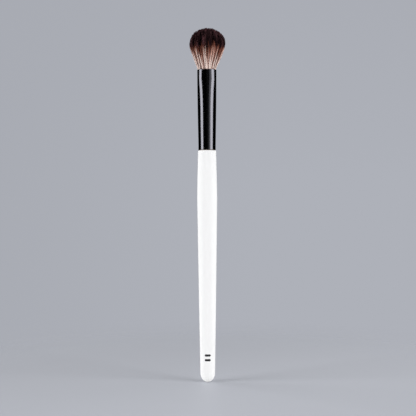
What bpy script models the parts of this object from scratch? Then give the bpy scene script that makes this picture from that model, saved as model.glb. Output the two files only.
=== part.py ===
"""A round blending brush for eye makeup, standing on its butt.

A turned wooden handle ends in a tenon. A thin metal ferrule, pressed oval towards its mouth, is
glued over the tenon and holds a bound bundle of hair whose roots sit in an epoxy plug.
Lengths are in metres, +Z runs from the butt to the hair tips, and the front faces -Y.
"""

import math
import random

import bmesh
import bpy

MM = 0.001

# Clearances between pieces
FIT_CLEARANCE = 0.3 * MM
SEAM_CLEARANCE = 0.2 * MM

# Handle
HANDLE_LENGTH = 107.65 * MM
BUTT_FLAT_RADIUS = 1.0 * MM
BUTT_RADIUS = 3.42 * MM
BUTT_DOME_HEIGHT = 4.0 * MM
BELLY_RADIUS = 4.69 * MM
SHOULDER_TAPER_LENGTH = 22.5 * MM
SHOULDER_RADIUS = 4.25 * MM
SHOULDER_ROUNDING = 0.25 * MM
TENON_LENGTH = 17.0 * MM
TENON_CHAMFER = 0.6 * MM

# Glue grooves round the tenon, one near each end
GROOVE_INSET = 3.0 * MM
GROOVE_WIDTH = 2.4 * MM
GROOVE_DEPTH = 0.9 * MM

# Ferrule
FERRULE_WALL = 0.35 * MM
FERRULE_FOOT_RADIUS = 4.02 * MM
FERRULE_FOOT_ROUNDING = 0.12 * MM
MOUTH_WIDTH = 8.9 * MM
MOUTH_DEPTH = 6.7 * MM
PRESSED_BAND_LENGTH = 5.0 * MM
PRESS_RUNOUT_LENGTH = 11.0 * MM

# Hair root inside the ferrule, with its plug and its binding
MOUTH_RECESS = 0.5 * MM
ROOT_LENGTH = 17.15 * MM
WAIST_RUNOUT_LENGTH = 1.2 * MM
HAIR_RIM = 0.25 * MM
PLUG_THICKNESS = 2.4 * MM
PLUG_LIP_HEIGHT = 1.0 * MM
PLUG_HOLLOW_DEPTH = 0.6 * MM
THREAD_DIAMETER = 0.35 * MM
THREAD_GAP = 0.45 * MM
THREAD_TURNS = 5
THREAD_STANDOFF = 0.5 * MM

# Hair head outside the ferrule
HEAD_LENGTH = 19.7 * MM
DOME_HEIGHT = 7.5 * MM
HEAD_WIDTH = 16.9 * MM
HEAD_DEPTH = 13.0 * MM
STRAND_RINGS = 11
SECTORS = 6
STRAND_TAPER_LENGTH = 1.7 * MM
TIP_SCATTER = 0.3 * MM
LEAN_SCATTER = 0.09 * MM
SCATTER_SEED = 7

# Shapes, as shares of the sizes they follow
HANDLE_BULGE_SHARE = 0.15
SHOULDER_TAPER_POWER = 1.25
SWAGE_SHARES = (
    (0.0, 0.0),
    (0.06, 0.0),
    (0.15, 0.13),
    (0.25, 0.32),
    (0.4, 0.59),
    (0.6, 0.77),
    (0.8, 0.92),
    (1.0, 1.0),
)
PRESS_POWER = 1.5
FLARE_SHARE = 0.5
DOME_POWER = 2.25
STRAND_MIDDLE_SHARE = 0.58
STRAND_MIDDLE_WIDTH_SHARE = 0.64
STRAND_TAPER_WIDTH_SHARE = 0.56

# Facets
ROUND_SEGMENTS = 40
DOME_STEPS = 6
BODY_STEPS = 9
TAPER_STEPS = 5
SWAGE_STEPS = 9
PLUG_STEPS = 4
ROOT_STEPS = 4
ROUNDING_STEPS = 3
THREAD_POINTS_PER_TURN = 16
THREAD_BEVEL_RESOLUTION = 1
SHARP_ANGLE = math.radians(35)

# Places along Z
SHOULDER_Z = HANDLE_LENGTH
BELLY_Z = SHOULDER_Z - SHOULDER_TAPER_LENGTH
TENON_TOP_Z = SHOULDER_Z + TENON_LENGTH
FERRULE_FOOT_Z = SHOULDER_Z + SEAM_CLEARANCE
PLUG_Z = TENON_TOP_Z + FIT_CLEARANCE
PLUG_TOP_Z = PLUG_Z + PLUG_THICKNESS
PLUG_LIP_Z = PLUG_TOP_Z + PLUG_LIP_HEIGHT
ROOT_Z = PLUG_TOP_Z + FIT_CLEARANCE
ROOT_TOP_Z = ROOT_Z + ROOT_LENGTH
MOUTH_Z = ROOT_TOP_Z + MOUTH_RECESS
CREASE_Z = MOUTH_Z - PRESSED_BAND_LENGTH
PRESS_START_Z = CREASE_Z - PRESS_RUNOUT_LENGTH
TIP_Z = MOUTH_Z + HEAD_LENGTH
WIDEST_Z = TIP_Z - DOME_HEIGHT
THREAD_PITCH = THREAD_DIAMETER + THREAD_GAP
THREAD_Z = PLUG_LIP_Z + THREAD_STANDOFF
THREAD_TOP_Z = THREAD_Z + THREAD_TURNS * THREAD_PITCH + THREAD_DIAMETER

TENON_RADIUS = FERRULE_FOOT_RADIUS - FERRULE_WALL - FIT_CLEARANCE
GROOVE_FLOOR_RADIUS = TENON_RADIUS - GROOVE_DEPTH
GROOVE_STARTS = (SHOULDER_Z + GROOVE_INSET, TENON_TOP_Z - GROOVE_INSET - GROOVE_WIDTH)


def remove_everything():
    for old in list(bpy.data.objects):
        bpy.data.objects.remove(old, do_unlink=True)


def principled(name, colour, roughness, metallic=0.0, coat=0.0):
    """A plain material with the piece's own colour and shine."""
    material = bpy.data.materials.new(name)
    material.use_nodes = True
    shader = material.node_tree.nodes["Principled BSDF"]
    shader.inputs["Base Color"].default_value = (*colour, 1.0)
    shader.inputs["Roughness"].default_value = roughness
    shader.inputs["Metallic"].default_value = metallic
    shader.inputs["Coat Weight"].default_value = coat
    return material


def share_between(low, high, value):
    """How far value lies from low to high, from 0 to 1."""
    return min(1.0, max(0.0, (value - low) / (high - low)))


def read_shares(table, share):
    """The value of a table of (place, value) shares at one place, on straight lines between them."""
    for (place_0, value_0), (place_1, value_1) in zip(table, table[1:]):
        if share <= place_1:
            along = (share - place_0) / (place_1 - place_0)
            return value_0 + along * (value_1 - value_0)
    return table[-1][1]


def steps(low, high, count):
    """Evenly spaced values from low to high, both ends included."""
    return [low + (high - low) * i / count for i in range(count + 1)]


# Outlines

def handle_radius(z):
    """The lacquered handle's radius between the butt's dome and the shoulder."""
    if z <= BELLY_Z:
        along = share_between(BUTT_DOME_HEIGHT, BELLY_Z, z)
        swell = along + HANDLE_BULGE_SHARE * along * (1 - along)
        return BUTT_RADIUS + (BELLY_RADIUS - BUTT_RADIUS) * swell
    along = share_between(BELLY_Z, SHOULDER_Z, z)
    return BELLY_RADIUS + (SHOULDER_RADIUS - BELLY_RADIUS) * along**SHOULDER_TAPER_POWER


def ferrule_half_sizes(z):
    """The ferrule's outer half width along X and half depth along Y."""
    swage = read_shares(SWAGE_SHARES, share_between(FERRULE_FOOT_Z, MOUTH_Z, z))
    half_width = FERRULE_FOOT_RADIUS + (MOUTH_WIDTH / 2 - FERRULE_FOOT_RADIUS) * swage
    pressed = share_between(PRESS_START_Z, CREASE_Z, z) ** PRESS_POWER
    depth_share = 1 + (MOUTH_DEPTH / MOUTH_WIDTH - 1) * pressed
    return half_width, half_width * depth_share


def bore_half_sizes(z, inset=0.0):
    """The ferrule's bore at a height, drawn in by an inset."""
    half_width, half_depth = ferrule_half_sizes(z)
    return half_width - FERRULE_WALL - inset, half_depth - FERRULE_WALL - inset


def head_half_sizes(z):
    """The hair bundle's half width and half depth from the packed root up to the widest place."""
    root_width, root_depth = bore_half_sizes(ROOT_TOP_Z, FIT_CLEARANCE + HAIR_RIM)
    along = share_between(ROOT_TOP_Z, WIDEST_Z, z)
    flare = along + FLARE_SHARE * along**2 * (1 - along)
    half_width = root_width + (HEAD_WIDTH / 2 - root_width) * flare
    half_depth = root_depth + (HEAD_DEPTH / 2 - root_depth) * flare
    return half_width, half_depth


def tightest_bore(low, high):
    """The largest round radius that clears the bore all the way between two heights."""
    return min(bore_half_sizes(z, FIT_CLEARANCE)[1] for z in (low, high))


def thread_radius():
    """The radius of the binding's centre line."""
    return tightest_bore(THREAD_Z, THREAD_TOP_Z) - THREAD_DIAMETER / 2


def waist_radius():
    """The bound root's radius under the thread."""
    return thread_radius() - THREAD_DIAMETER / 2 - FIT_CLEARANCE


# Mesh helpers

def add_ring(bm, half_width, half_depth, z, segments=ROUND_SEGMENTS):
    """One oval loop of vertices, counterclockwise from above."""
    ring = []
    for i in range(segments):
        angle = 2 * math.pi * i / segments
        ring.append(bm.verts.new((half_width * math.cos(angle), half_depth * math.sin(angle), z)))
    return ring


def join_rings(bm, lower, upper):
    """The band of faces between two loops of as many vertices."""
    for i, vertex in enumerate(lower):
        after = (i + 1) % len(lower)
        bm.faces.new((vertex, lower[after], upper[after], upper[i]))


def add_closed_stack(bm, sections, segments=ROUND_SEGMENTS):
    """A solid through oval sections (half width, half depth, z), with a flat face at each end."""
    rings = [add_ring(bm, *section, segments) for section in sections]
    for lower, upper in zip(rings, rings[1:]):
        join_rings(bm, lower, upper)
    bm.faces.new(reversed(rings[0]))
    bm.faces.new(rings[-1])


def add_tube(bm, sections):
    """A ring-shaped solid through sections that run up the outside and down the inside."""
    rings = [add_ring(bm, *section) for section in sections]
    for lower, upper in zip(rings, rings[1:] + rings[:1]):
        join_rings(bm, lower, upper)


def turned(outline):
    """Round sections from (radius, z) points."""
    return [(radius, radius, z) for radius, z in outline]


def arc_shares(count):
    """Points of a quarter circle as (sine, cosine), from level to upright."""
    angles = steps(0, math.pi / 2, count)
    return [(math.sin(angle), math.cos(angle)) for angle in angles]


def place_piece(bm, name, material, base_z):
    """Turns the drawn mesh into an object whose origin is on the axis at base_z."""
    for vertex in bm.verts:
        vertex.co.z -= base_z
    mesh = bpy.data.meshes.new(name)
    bm.to_mesh(mesh)
    bm.free()
    mesh.shade_smooth()
    mesh.set_sharp_from_angle(angle=SHARP_ANGLE)
    mesh.materials.append(material)
    piece = bpy.data.objects.new(name, mesh)
    piece.location.z = base_z
    bpy.context.scene.collection.objects.link(piece)
    return piece


# Pieces

def butt_dome_outline():
    """The elliptical dome, cut flat where the brush stands."""
    start = math.asin(BUTT_FLAT_RADIUS / BUTT_RADIUS)
    ellipse_height = BUTT_DOME_HEIGHT / math.cos(start)
    outline = []
    for angle in steps(start, math.pi / 2, DOME_STEPS):
        outline.append((BUTT_RADIUS * math.sin(angle), BUTT_DOME_HEIGHT - ellipse_height * math.cos(angle)))
    return outline


def shoulder_outline():
    """The rounded outer edge of the shoulder."""
    edge_radius = handle_radius(SHOULDER_Z - SHOULDER_ROUNDING)
    outline = []
    for rise, out in arc_shares(ROUNDING_STEPS):
        radius = edge_radius - SHOULDER_ROUNDING * (1 - out)
        outline.append((radius, SHOULDER_Z - SHOULDER_ROUNDING * (1 - rise)))
    return outline


def tenon_outline():
    """The tenon with its two glue grooves and its chamfered end."""
    outline = [(TENON_RADIUS, SHOULDER_Z)]
    for start in GROOVE_STARTS:
        end = start + GROOVE_WIDTH
        outline += [(TENON_RADIUS, start), (GROOVE_FLOOR_RADIUS, start)]
        outline += [(GROOVE_FLOOR_RADIUS, end), (TENON_RADIUS, end)]
    outline.append((TENON_RADIUS, TENON_TOP_Z - TENON_CHAMFER))
    outline.append((TENON_RADIUS - TENON_CHAMFER, TENON_TOP_Z))
    return outline


def make_handle():
    heights = steps(BUTT_DOME_HEIGHT, BELLY_Z, BODY_STEPS)[1:]
    heights += steps(BELLY_Z, SHOULDER_Z - SHOULDER_ROUNDING, TAPER_STEPS)[1:-1]
    outline = butt_dome_outline()
    outline += [(handle_radius(z), z) for z in heights]
    outline += shoulder_outline()
    outline += tenon_outline()
    bm = bmesh.new()
    add_closed_stack(bm, turned(outline))
    lacquer = principled("white_lacquer", (0.9, 0.9, 0.9), 0.12, coat=0.5)
    place_piece(bm, "handle", lacquer, 0.0)


def ferrule_heights():
    """Heights where the ferrule's outline has a section, foot to mouth."""
    heights = steps(FERRULE_FOOT_Z, PRESS_START_Z, SWAGE_STEPS)[1:]
    heights += steps(PRESS_START_Z, CREASE_Z, SWAGE_STEPS // 2)[1:]
    return heights


def make_ferrule():
    foot_inset = FERRULE_FOOT_RADIUS - FERRULE_FOOT_ROUNDING
    sections = [(foot_inset, foot_inset, FERRULE_FOOT_Z)]
    sections.append((FERRULE_FOOT_RADIUS, FERRULE_FOOT_RADIUS, FERRULE_FOOT_Z + FERRULE_FOOT_ROUNDING))
    sections += [(*ferrule_half_sizes(z), z) for z in ferrule_heights()]
    lip = FERRULE_WALL / 2
    half_width, half_depth = ferrule_half_sizes(MOUTH_Z)
    lip_arc = [(1 - out, rise) for rise, out in arc_shares(ROUNDING_STEPS)]
    lip_arc += [(1 + out, rise) for rise, out in reversed(arc_shares(ROUNDING_STEPS)[:-1])]
    for inward, rise in lip_arc:
        sections.append((half_width - lip * inward, half_depth - lip * inward, MOUTH_Z - lip * (1 - rise)))
    sections += [(*bore_half_sizes(z), z) for z in reversed(ferrule_heights())]
    sections.append((*bore_half_sizes(FERRULE_FOOT_Z), FERRULE_FOOT_Z))
    bm = bmesh.new()
    add_tube(bm, sections)
    black = principled("black_anodised_metal", (0.012, 0.012, 0.013), 0.16, metallic=0.6, coat=0.6)
    place_piece(bm, "ferrule", black, FERRULE_FOOT_Z)


def make_glue_ring(name, start):
    """A ring of set glue that fills one groove out to the tenon's own radius."""
    low, high = start + FIT_CLEARANCE, start + GROOVE_WIDTH - FIT_CLEARANCE
    inner, outer = GROOVE_FLOOR_RADIUS + FIT_CLEARANCE, TENON_RADIUS
    bm = bmesh.new()
    add_tube(bm, turned([(outer, low), (outer, high), (inner, high), (inner, low)]))
    glue = principled(name + "_set_glue", (0.72, 0.6, 0.36), 0.35)
    place_piece(bm, name, glue, low)


def make_root_plug():
    """A disc of epoxy, hollowed underneath where it shrank, with a lip round the root's end."""
    reach = tightest_bore(PLUG_Z, PLUG_LIP_Z)
    lip_inner = waist_radius() + FIT_CLEARANCE
    outline = []
    for share in steps(0, 1, PLUG_STEPS)[1:]:
        outline.append((reach * share, PLUG_Z + PLUG_HOLLOW_DEPTH * (1 - share**2)))
    outline += [(reach, PLUG_LIP_Z), (lip_inner, PLUG_LIP_Z), (lip_inner, PLUG_TOP_Z)]
    bm = bmesh.new()
    add_closed_stack(bm, turned(outline))
    epoxy = principled("set_epoxy", (0.55, 0.42, 0.2), 0.25)
    place_piece(bm, "root_plug", epoxy, PLUG_Z)


def thread_points():
    """Points of the binding's helix, bottom to top."""
    radius = thread_radius()
    points = []
    for i in range(THREAD_TURNS * THREAD_POINTS_PER_TURN + 1):
        turn = i / THREAD_POINTS_PER_TURN
        angle = 2 * math.pi * turn
        height = THREAD_DIAMETER / 2 + turn * THREAD_PITCH
        points.append((radius * math.cos(angle), radius * math.sin(angle), height))
    return points


def least_gap_between_turns(points):
    """The smallest free space between one turn and the next, from the points."""
    gap = math.inf
    for i, point in enumerate(points):
        for other in points[i + THREAD_POINTS_PER_TURN // 2 :]:
            gap = min(gap, math.dist(point, other) - THREAD_DIAMETER)
    return gap


def make_binding_thread():
    points = thread_points()
    curve = bpy.data.curves.new("binding_thread", "CURVE")
    curve.dimensions = "3D"
    curve.bevel_depth = THREAD_DIAMETER / 2
    curve.bevel_resolution = THREAD_BEVEL_RESOLUTION
    curve.use_fill_caps = True
    spline = curve.splines.new("POLY")
    spline.points.add(len(points) - 1)
    for target, point in zip(spline.points, points):
        target.co = (*point, 1.0)
    curve.materials.append(principled("cotton_thread", (0.8, 0.76, 0.66), 0.9))
    thread = bpy.data.objects.new("binding_thread", curve)
    thread.location.z = THREAD_Z
    bpy.context.scene.collection.objects.link(thread)
    print(f"binding_thread: least gap between turns {least_gap_between_turns(points) / MM:.2f} mm")


def packing_rings():
    """Unit places of the packed strands' corners: the centre, then rings of 6, 12, 18 and so on."""
    rings = [[(0.0, 0.0)]]
    for ring in range(1, STRAND_RINGS + 1):
        corners = SECTORS * ring
        radius = ring / STRAND_RINGS
        angles = [2 * math.pi * i / corners for i in range(corners)]
        rings.append([(radius * math.cos(angle), radius * math.sin(angle)) for angle in angles])
    return rings


def packing_cells():
    """The packing's triangles in turn: those that carry a strand, and those left open between."""
    strands, gaps = [], []
    for ring in range(1, STRAND_RINGS + 1):
        for sector in range(SECTORS):
            outer, inner = sector * ring, sector * (ring - 1)
            wide = [((ring, outer + i), (ring, outer + i + 1), (ring - 1, inner + i)) for i in range(ring)]
            narrow = []
            for i in range(ring - 1):
                narrow.append(((ring - 1, inner + i), (ring, outer + i + 1), (ring - 1, inner + i + 1)))
            if sector % 2 == 0:
                strands += wide
                gaps += narrow
            else:
                strands += narrow
                gaps += wide
    return strands, gaps


def corner_of(rings, cell_corner):
    """A cell corner's entry in its ring, which closes on itself."""
    ring, index = cell_corner
    return rings[ring][index % len(rings[ring])]


class Strand:
    """One strand over its cell of the packing. It tapers from the packed root to a pointed tip."""

    def __init__(self, unit_corners, scatter):
        self.unit_corners = unit_corners
        self.middle_x = sum(x for x, y in unit_corners) / len(unit_corners)
        self.middle_y = sum(y for x, y in unit_corners) / len(unit_corners)
        reach = math.hypot(self.middle_x, self.middle_y)
        dome = (1 - reach**DOME_POWER) ** (1 / DOME_POWER)
        self.tip_z = WIDEST_Z + DOME_HEIGHT * dome - TIP_SCATTER * scatter.random()
        self.lean_x = LEAN_SCATTER * scatter.uniform(-1, 1)
        self.lean_y = LEAN_SCATTER * scatter.uniform(-1, 1)

    def place(self, x, y, z):
        """The place at height z of a point of the unit packing."""
        half_width, half_depth = head_half_sizes(z)
        along = share_between(ROOT_TOP_Z, self.tip_z, z)
        return half_width * x + self.lean_x * along, half_depth * y + self.lean_y * along, z

    def add_section(self, bm, z, width_share):
        """A triangular section, drawn in towards the strand's own middle."""
        section = []
        for x, y in self.unit_corners:
            drawn_x = self.middle_x + width_share * (x - self.middle_x)
            drawn_y = self.middle_y + width_share * (y - self.middle_y)
            section.append(bm.verts.new(self.place(drawn_x, drawn_y, z)))
        return section

    def add_to(self, bm, base):
        """Draws the strand up from its cell's vertices."""
        middle_z = ROOT_TOP_Z + STRAND_MIDDLE_SHARE * (self.tip_z - ROOT_TOP_Z)
        middle = self.add_section(bm, middle_z, STRAND_MIDDLE_WIDTH_SHARE)
        taper = self.add_section(bm, self.tip_z - STRAND_TAPER_LENGTH, STRAND_TAPER_WIDTH_SHARE)
        join_rings(bm, base, middle)
        join_rings(bm, middle, taper)
        tip = bm.verts.new(self.place(self.middle_x, self.middle_y, self.tip_z))
        for i, vertex in enumerate(taper):
            bm.faces.new((vertex, taper[(i + 1) % len(taper)], tip))


def root_sections():
    """The packed root below its top: a bound waist, then hair that fills the bore."""
    waist = waist_radius()
    sections = [(waist, waist, ROOT_Z), (waist, waist, THREAD_TOP_Z)]
    for z in steps(THREAD_TOP_Z + WAIST_RUNOUT_LENGTH, ROOT_TOP_Z, ROOT_STEPS):
        sections.append((*bore_half_sizes(z, FIT_CLEARANCE), z))
    return sections


def make_hair_bundle():
    """The strands, fused to the packed root that holds them."""
    bm = bmesh.new()
    side = [add_ring(bm, *section, segments=SECTORS * STRAND_RINGS) for section in root_sections()]
    for lower, upper in zip(side, side[1:]):
        join_rings(bm, lower, upper)
    bm.faces.new(reversed(side[0]))
    unit_rings = packing_rings()
    half_width, half_depth = head_half_sizes(ROOT_TOP_Z)
    top_rings = []
    for ring in unit_rings:
        top_rings.append([bm.verts.new((half_width * x, half_depth * y, ROOT_TOP_Z)) for x, y in ring])
    join_rings(bm, side[-1], top_rings[-1])
    strands, gaps = packing_cells()
    for cell in gaps:
        bm.faces.new([corner_of(top_rings, corner) for corner in cell])
    scatter = random.Random(SCATTER_SEED)
    for cell in strands:
        strand = Strand([corner_of(unit_rings, corner) for corner in cell], scatter)
        strand.add_to(bm, [corner_of(top_rings, corner) for corner in cell])
    hair = principled("natural_hair", (0.32, 0.2, 0.16), 0.6)
    place_piece(bm, "hair_bundle", hair, ROOT_Z)
    print(f"hair_bundle: {len(strands)} strands")


def main():
    remove_everything()
    make_handle()
    make_ferrule()
    for name, start in zip(("glue_ring_lower", "glue_ring_upper"), GROOVE_STARTS):
        make_glue_ring(name, start)
    make_root_plug()
    make_binding_thread()
    make_hair_bundle()


main()
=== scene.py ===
"""A round blending brush for eye makeup, dressed for its portrait.

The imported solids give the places. The pieces made here stand for them and carry the finish of the real
brush: white lacquer over turned wood, a pressed black ferrule, and a head of soft hair that is pale at
the root and dark at the tips.
Lengths are in metres, +Z runs from the butt to the hair tips, and the front faces -Y.
"""

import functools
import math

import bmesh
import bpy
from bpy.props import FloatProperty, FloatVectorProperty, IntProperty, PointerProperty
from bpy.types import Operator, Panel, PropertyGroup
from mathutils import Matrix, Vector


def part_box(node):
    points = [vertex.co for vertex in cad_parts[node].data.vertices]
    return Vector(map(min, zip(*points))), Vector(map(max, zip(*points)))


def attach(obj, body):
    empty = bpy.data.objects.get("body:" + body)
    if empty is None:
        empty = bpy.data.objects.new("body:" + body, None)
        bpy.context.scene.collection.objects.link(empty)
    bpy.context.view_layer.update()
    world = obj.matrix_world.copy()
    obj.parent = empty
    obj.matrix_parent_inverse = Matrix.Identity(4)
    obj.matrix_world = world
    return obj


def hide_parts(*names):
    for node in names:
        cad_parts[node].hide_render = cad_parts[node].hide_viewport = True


bl_info = {
    "name": "Blending Brush",
    "version": (1, 0, 0),
    "blender": (4, 5, 0),
    "location": "3D View > Sidebar > Brush",
    "description": "Dresses a round blending brush over its packed solids and sets its studio",
    "category": "Add Mesh",
}

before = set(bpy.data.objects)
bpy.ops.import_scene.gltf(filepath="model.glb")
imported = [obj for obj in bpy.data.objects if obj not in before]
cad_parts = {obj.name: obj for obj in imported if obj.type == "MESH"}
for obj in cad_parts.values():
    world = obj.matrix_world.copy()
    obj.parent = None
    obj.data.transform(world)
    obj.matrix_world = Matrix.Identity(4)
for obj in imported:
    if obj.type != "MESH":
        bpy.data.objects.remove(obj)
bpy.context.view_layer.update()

MM = 0.001
BODY = "root"
BAKE_MAP = "OFBake"
MERGE_DISTANCE = 0.001 * MM
SHARP_ANGLE = math.radians(35)

# Places along Z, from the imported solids
TENON_TOP_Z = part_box("handle")[1].z
FOOT_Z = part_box("ferrule")[0].z
MOUTH_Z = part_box("ferrule")[1].z
PLUG_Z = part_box("root_plug")[0].z
PLUG_LIP_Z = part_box("root_plug")[1].z
THREAD_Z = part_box("binding_thread")[0].z
ROOT_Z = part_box("hair_bundle")[0].z
TIP_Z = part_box("hair_bundle")[1].z


# Sizes and colours that a user may change

def length(name, description, millimetres):
    default = millimetres * MM
    return FloatProperty(name=name, description=description, default=default, precision=5, unit="LENGTH")


def angle(name, description, degrees):
    return FloatProperty(name=name, description=description, default=math.radians(degrees), subtype="ANGLE")


def number(name, description, default):
    return FloatProperty(name=name, description=description, default=default)


def whole(name, description, default):
    return IntProperty(name=name, description=description, default=default, min=1)


def colour(name, description, *default):
    return FloatVectorProperty(name=name, description=description, default=default, size=3, subtype="COLOR")


class HandleSizes(PropertyGroup):
    seam: length("Seam", "Open joint between shoulder and ferrule", 0.2)
    flat_radius: length("Butt flat", "Radius of the flat that it stands on", 1.0)
    butt_radius: length("Butt radius", "Radius just above the butt's dome", 3.42)
    dome_height: length("Dome height", "Height of the butt's dome", 4.0)
    belly_radius: length("Belly radius", "Radius at the thickest place", 4.69)
    taper_length: length("Taper length", "From the belly up to the shoulder", 22.5)
    shoulder_radius: length("Shoulder radius", "Radius under the ferrule", 4.25)
    rounding: length("Shoulder rounding", "Rounding of the shoulder's edge", 0.25)
    bulge_share: number("Bulge", "How far the long taper bows out", 0.15)
    taper_power: number("Taper power", "How late the upper taper sets in", 1.25)
    tenon_radius: length("Tenon radius", "Bare wood inside the ferrule", 3.37)
    tenon_chamfer: length("Tenon chamfer", "Chamfer of the tenon's end", 0.6)
    groove_inset: length("Groove inset", "From the tenon's ends to the glue grooves", 3.0)
    groove_width: length("Groove width", "Width of a glue groove", 2.4)
    groove_depth: length("Groove depth", "Depth of a glue groove", 0.9)
    lacquer: colour("Lacquer", "Colour of the lacquer", 0.888, 0.891, 0.898)
    wood: colour("Wood", "Colour of the bare tenon", 0.72, 0.54, 0.34)


class MarkSizes(PropertyGroup):
    height: length("Height", "Middle of the mark above the butt", 11.6)
    bar_width: length("Bar width", "Length of a bar round the handle", 2.8)
    bar_height: length("Bar height", "Thickness of a bar", 1.0)
    spacing: length("Spacing", "From the middle of one bar to the next", 2.2)
    film: length("Film", "Thickness of the printed ink", 0.02)
    bars: whole("Bars", "Number of bars", 2)
    ink: colour("Ink", "Colour of the ink", 0.008, 0.008, 0.009)


class FerruleSizes(PropertyGroup):
    wall: length("Wall", "Thickness of the metal", 0.35)
    foot_radius: length("Foot radius", "Radius at the handle", 4.02)
    foot_rounding: length("Foot rounding", "Rounding of the foot's edge", 0.12)
    straight_foot: length("Straight foot", "Length before the ferrule widens", 2.2)
    swage_power: number("Swage power", "How late the widening sets in", 1.15)
    mouth_width: length("Mouth width", "Width of the pressed mouth", 8.9)
    mouth_depth: length("Mouth depth", "Depth of the pressed mouth", 6.7)
    pressed_band: length("Pressed band", "From the crease up to the mouth", 5.0)
    crease_depth: length("Crease depth", "Depth at the crease, where it is pressed most", 6.2)
    press_runout: length("Press runout", "From round up to the crease", 16.0)
    press_power: number("Press power", "How late the pressing sets in", 2.0)
    metal: colour("Metal", "Colour of the black metal", 0.122, 0.121, 0.141)


class RootSizes(PropertyGroup):
    clearance: length("Clearance", "Free space between neighbours", 0.3)
    plug_lip: length("Plug lip", "Height of the epoxy's lip round the root", 1.0)
    plug_hollow: length("Plug hollow", "Where the epoxy shrank underneath", 0.6)
    thread_diameter: length("Thread", "Diameter of the binding thread", 0.35)
    thread_gap: length("Thread gap", "Free space between the thread's turns", 0.45)
    thread_lay: length("Thread lay", "Length of one twist of the two plies", 1.4)
    thread_turns: whole("Thread turns", "Turns of the binding", 5)
    waist_runout: length("Waist runout", "From the bound waist out to the bore", 1.2)
    recess: length("Recess", "From the mouth down to the packed root", 0.5)
    epoxy: colour("Epoxy", "Colour of the epoxy", 0.55, 0.4, 0.17)
    glue: colour("Glue", "Colour of the set glue", 0.72, 0.6, 0.36)
    cotton: colour("Cotton", "Colour of the thread", 0.8, 0.76, 0.66)


class HairSizes(PropertyGroup):
    strands: whole("Strands", "Strands in the whole head", 17000)
    thickness: length("Thickness", "Thickness of one hair", 0.075)
    head_width: length("Head width", "Width at the widest place", 17.0)
    head_depth: length("Head depth", "Depth at the widest place", 13.2)
    rim: length("Rim", "Free space round the hair in the mouth", 0.05)
    dome_height: length("Dome height", "From the widest place up to the top", 7.5)
    dome_power: number("Dome power", "2 is an ellipse, more is squarer", 1.98)
    flare_share: number("Flare share", "How far the sides bow out", 0.5)
    lean: length("Lean", "How far the head leans to the right", 0.25)
    locks: whole("Locks", "Locks that the hair draws into", 300)
    lock_pull: number("Lock pull", "How far a lock draws together", 0.57)
    tip_release: number("Tip release", "Share of the pull that a lock lets go at its tips", 0.65)
    crossing: number("Crossing", "How far the locks cross above the root", 0.1)
    lock_scatter: length("Lock scatter", "Unevenness of the locks' tips", 0.25)
    lock_point: length("Lock point", "How far a lock's outer hairs fall short", 0.45)
    tip_scatter: length("Tip scatter", "Unevenness of the tips in a lock", 0.5)
    swerve: length("Swerve", "Sideways wander of a lock", 0.7)
    wave: length("Wave", "Sideways wave of a hair", 0.16)
    seed: whole("Seed", "Seed of everything random in the hair", 19)
    turn_depth: length("Turn depth", "Below the top, where dark turns pale", 8.2)
    turn_scatter: length("Turn scatter", "How unevenly it turns", 3.6)
    flank_lift: length("Flank lift", "How much higher it turns at the head's sides", 1.8)
    pale: colour("Pale hair", "Colour near the root", 0.68, 0.386, 0.308)
    bright: colour("Bright hair", "Colour of the palest locks", 1.0, 0.83, 0.765)
    russet: colour("Russet hair", "Colour where dark turns pale", 0.2, 0.065, 0.042)
    dark: colour("Dark hair", "Colour of the tips", 0.006, 0.002, 0.003)
    # Plum is the colour of the plum locks, and of the painted light at the very tips
    plum: colour("Plum hair", "Colour of the lighter tips", 0.18, 0.075, 0.085)


class StageSettings(PropertyGroup):
    distance: length("Distance", "From the camera to the brush's axis", 431.0)
    eye_height: length("Eye height", "Height of the camera", 80.9)
    side_step: length("Side step", "Camera beside the axis", 0.35)
    roll: angle("Roll", "Tilt of the camera", 0.18)
    lens: number("Lens", "Focal length in millimetres", 80.0)
    floor_radius: length("Floor radius", "Reach of the floor", 400.0)
    floor: colour("Floor", "Colour of the floor, as the camera sees it", 0.5, 0.517, 0.567)
    bounce: number("Bounce", "How pale the floor is for the light that it throws back", 0.95)
    backdrop: colour("Backdrop", "Colour behind the brush", 0.423, 0.439, 0.485)
    box_light: number("Box light", "Radiance of a soft box with a share of 1", 2.7)
    fill_light: number("Fill light", "Radiance of the even light from all round", 0.5)


# Numbers and colours

def share_between(low, high, value):
    """How far value lies from low to high, from 0 to 1."""
    return min(1.0, max(0.0, (value - low) / (high - low)))


def steps(low, high, count):
    """Evenly spaced values from low to high, both ends included."""
    return [low + (high - low) * i / count for i in range(count + 1)]


def tint(rgb, share=1.0):
    """An opaque colour, made darker or paler by a share."""
    return (*(channel * share for channel in rgb), 1.0)


# Node trees

def find_socket(sockets, name):
    """A socket by its place, or the one in use by that name."""
    if isinstance(name, int):
        return sockets[name]
    return next(socket for socket in sockets if socket.name == name and socket.enabled)


def both_ways(operation):
    """An operator of Value and its reflected form, each of which adds a Math node."""

    def forward(self, other):
        return self.nodes.math(operation, self, other)

    def reflected(self, other):
        return self.nodes.math(operation, other, self)

    return forward, reflected


class Value:
    """What one output socket gives. Arithmetic on it adds Math nodes."""

    def __init__(self, nodes, socket):
        self.nodes = nodes
        self.socket = socket

    def output(self, name):
        """Another output of the same node."""
        return Value(self.nodes, find_socket(self.socket.node.outputs, name))

    __add__, __radd__ = both_ways("ADD")
    __sub__, __rsub__ = both_ways("SUBTRACT")
    __mul__, __rmul__ = both_ways("MULTIPLY")
    __truediv__, __rtruediv__ = both_ways("DIVIDE")
    __pow__, __rpow__ = both_ways("POWER")
    __mod__, __rmod__ = both_ways("FLOORED_MODULO")


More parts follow.
